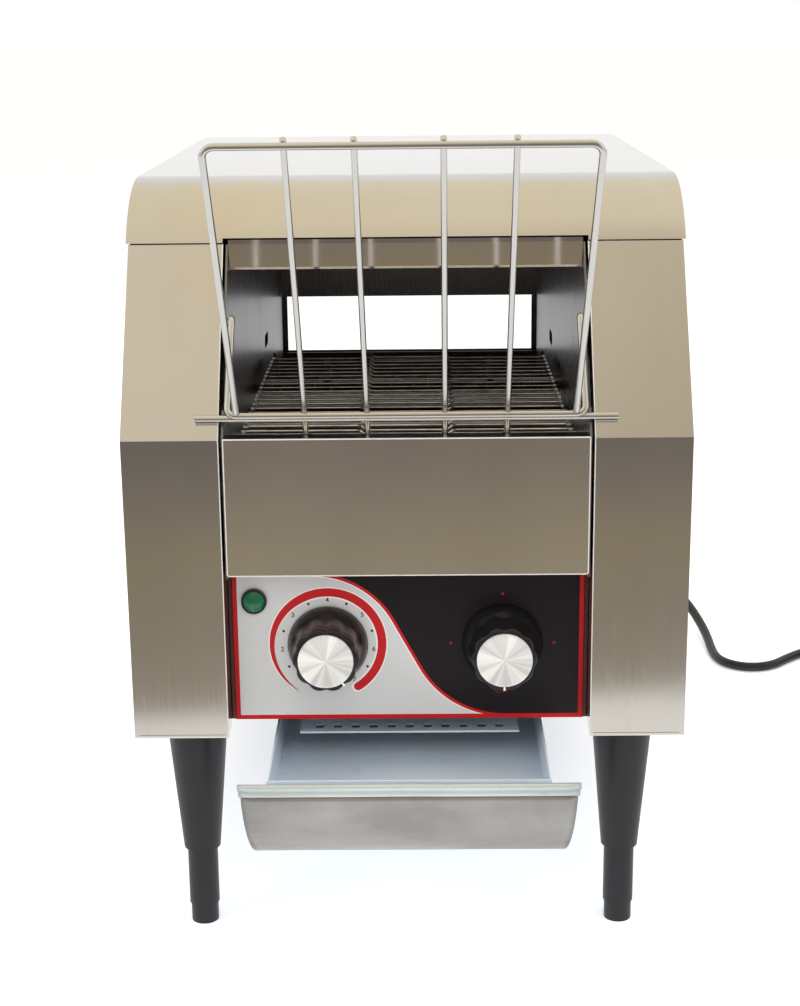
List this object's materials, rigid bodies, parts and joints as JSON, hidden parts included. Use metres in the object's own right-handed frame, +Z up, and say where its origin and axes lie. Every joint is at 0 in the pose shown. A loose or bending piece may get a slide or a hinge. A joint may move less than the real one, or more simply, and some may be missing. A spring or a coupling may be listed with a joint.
{
  "type": "conveyor toaster",
  "caption": "Countertop conveyor toaster: a loading rack feeds bread onto a wire belt between heaters, and toast slides down a chute into a front tray.",
  "frame": {"origin": "on the table top, under the middle of the toaster's bounding box without its mains lead", "axes": "+X to the user's right, +Y towards the back, +Z up; the user stands at -Y"},
  "size_m": [0.5752, 0.6449, 0.4368],
  "materials": {
    "satin_steel": "fine satin grain",
    "bright_steel": "bright rolled sheet",
    "belt_wire": "drawn wire, slightly dulled",
    "printed_panel": "satin overlay, silver on the left and black on the right",
    "black_plastic": "smooth moulded, slight gloss",
    "leg_plastic": "moulded, soft sheen",
    "switch_plastic": "moulded, matt",
    "knob_metal": "spun rings",
    "green_lens": "clear moulded lens",
    "quartz": "frosted tube",
    "ceramic": null,
    "bronze_bush": "oiled sintered bronze",
    "motor_case": "zinc plated pressing",
    "chromed_wire": "bright plated wire",
    "cord_sheath": "soft rubber",
    "pin_brass": "bright pins"
  },
  "bodies": {
    "toaster_body": {"right_housing": "satin_steel", "left_housing": "satin_steel", "cover": "satin_steel", "right_chamber_wall": "bright_steel", "left_chamber_wall": "bright_steel", "ceiling_reflector": "bright_steel", "upper_trim": "satin_steel", "lower_reflector": "bright_steel", "front_plate": "satin_steel", "control_panel": "printed_panel", "base_plate": "bright_steel", "rear_panel": "satin_steel", "outlet_guard": "bright_steel", "toast_chute": "bright_steel", "tray_rails": "bright_steel", "wire_belt": "belt_wire", "shaft_bushes": "bronze_bush", "upper_heaters": "quartz", "lower_heaters": "quartz", "heater_insulators": "ceramic", "drive_chain": "belt_wire", "motor_bracket": "bright_steel", "gear_motor": "motor_case", "speed_regulator": "switch_plastic", "selector_switch": "switch_plastic", "lamp_body": "black_plastic", "lamp_lens": "green_lens", "terminal_block": "ceramic", "fan_frame": "black_plastic", "legs": "leg_plastic", "cord_gland": "black_plastic", "cord": "cord_sheath", "cord_coil": "cord_sheath", "cord_tail": "cord_sheath", "plug": "black_plastic", "plug_pins": "pin_brass"},
    "drive_shaft": {"front_shaft": "bright_steel", "front_belt_wheels": "belt_wire", "drive_chain_wheel": "belt_wire"},
    "idler_shaft": {"rear_shaft": "bright_steel", "rear_belt_wheels": "belt_wire"},
    "motor_output": {"motor_spindle": "bright_steel", "motor_chain_wheel": "belt_wire"},
    "fan": {"fan_rotor": "black_plastic"},
    "speed_control": {"speed_knob": "black_plastic", "speed_knob_cap": "knob_metal", "speed_spindle": "bright_steel"},
    "selector_control": {"selector_knob": "black_plastic", "selector_knob_cap": "knob_metal", "selector_spindle": "bright_steel"},
    "toast_tray": {"tray": "bright_steel", "tray_lip": "satin_steel"},
    "bread_rack": {"rack_frame": "chromed_wire", "rack_hooks": "chromed_wire", "rack_rest_rod": "chromed_wire", "rack_bars": "chromed_wire"},
    "foot_front_left": {"front_left_foot": "leg_plastic"},
    "foot_front_right": {"front_right_foot": "leg_plastic"},
    "foot_rear_left": {"rear_left_foot": "leg_plastic"},
    "foot_rear_right": {"rear_right_foot": "leg_plastic"}
  },
  "joints": [
    {"name": "belt_drive", "type": "hinge", "parent": "toaster_body", "child": "drive_shaft", "pos_m": [0, -0.15693, 0.2602], "axis": [1, 0, 0], "continuous": true, "deforming": ["wire_belt", "drive_chain"]},
    {"name": "belt_idler", "type": "hinge", "parent": "toaster_body", "child": "idler_shaft", "pos_m": [0, 0.06157, 0.2602], "axis": [1, 0, 0], "continuous": true},
    {"name": "motor_turn", "type": "hinge", "parent": "toaster_body", "child": "motor_output", "pos_m": [0.103, -0.05193, 0.176], "axis": [1, 0, 0], "continuous": true},
    {"name": "fan_spin", "type": "hinge", "parent": "toaster_body", "child": "fan", "pos_m": [0, 0.22807, 0.166], "axis": [0, 1, 0], "continuous": true},
    {"name": "speed_turn", "type": "hinge", "parent": "toaster_body", "child": "speed_control", "pos_m": [-0.043, -0.16993, 0.1643], "axis": [0, 1, 0], "range_deg": [-292, 0]},
    {"name": "selector_turn", "type": "hinge", "parent": "toaster_body", "child": "selector_control", "pos_m": [0.05, -0.16993, 0.1643], "axis": [0, 1, 0], "range_deg": [0, 270]},
    {"name": "tray_slide", "type": "slide", "parent": "toaster_body", "child": "toast_tray", "axis": [0, -1, 0], "range_m": [0, 0.12]},
    {"name": "rack_lift", "type": "slide", "parent": "toaster_body", "child": "bread_rack", "axis": [0, -0.9659, 0.2588], "range_m": [0, 0.12]},
    {"name": "front_left_foot_screw", "type": "slide", "parent": "toaster_body", "child": "foot_front_left", "axis": [0, 0, -1], "range_m": [0, 0.02]},
    {"name": "front_right_foot_screw", "type": "slide", "parent": "toaster_body", "child": "foot_front_right", "axis": [0, 0, -1], "range_m": [0, 0.02]},
    {"name": "rear_left_foot_screw", "type": "slide", "parent": "toaster_body", "child": "foot_rear_left", "axis": [0, 0, -1], "range_m": [0, 0.02]},
    {"name": "rear_right_foot_screw", "type": "slide", "parent": "toaster_body", "child": "foot_rear_right", "axis": [0, 0, -1], "range_m": [0, 0.02]}
  ],
  "couplings": [
    {"joint": "belt_idler", "follows": "belt_drive", "ratio": 1},
    {"joint": "motor_turn", "follows": "belt_drive", "ratio": 1.5556}
  ]
}
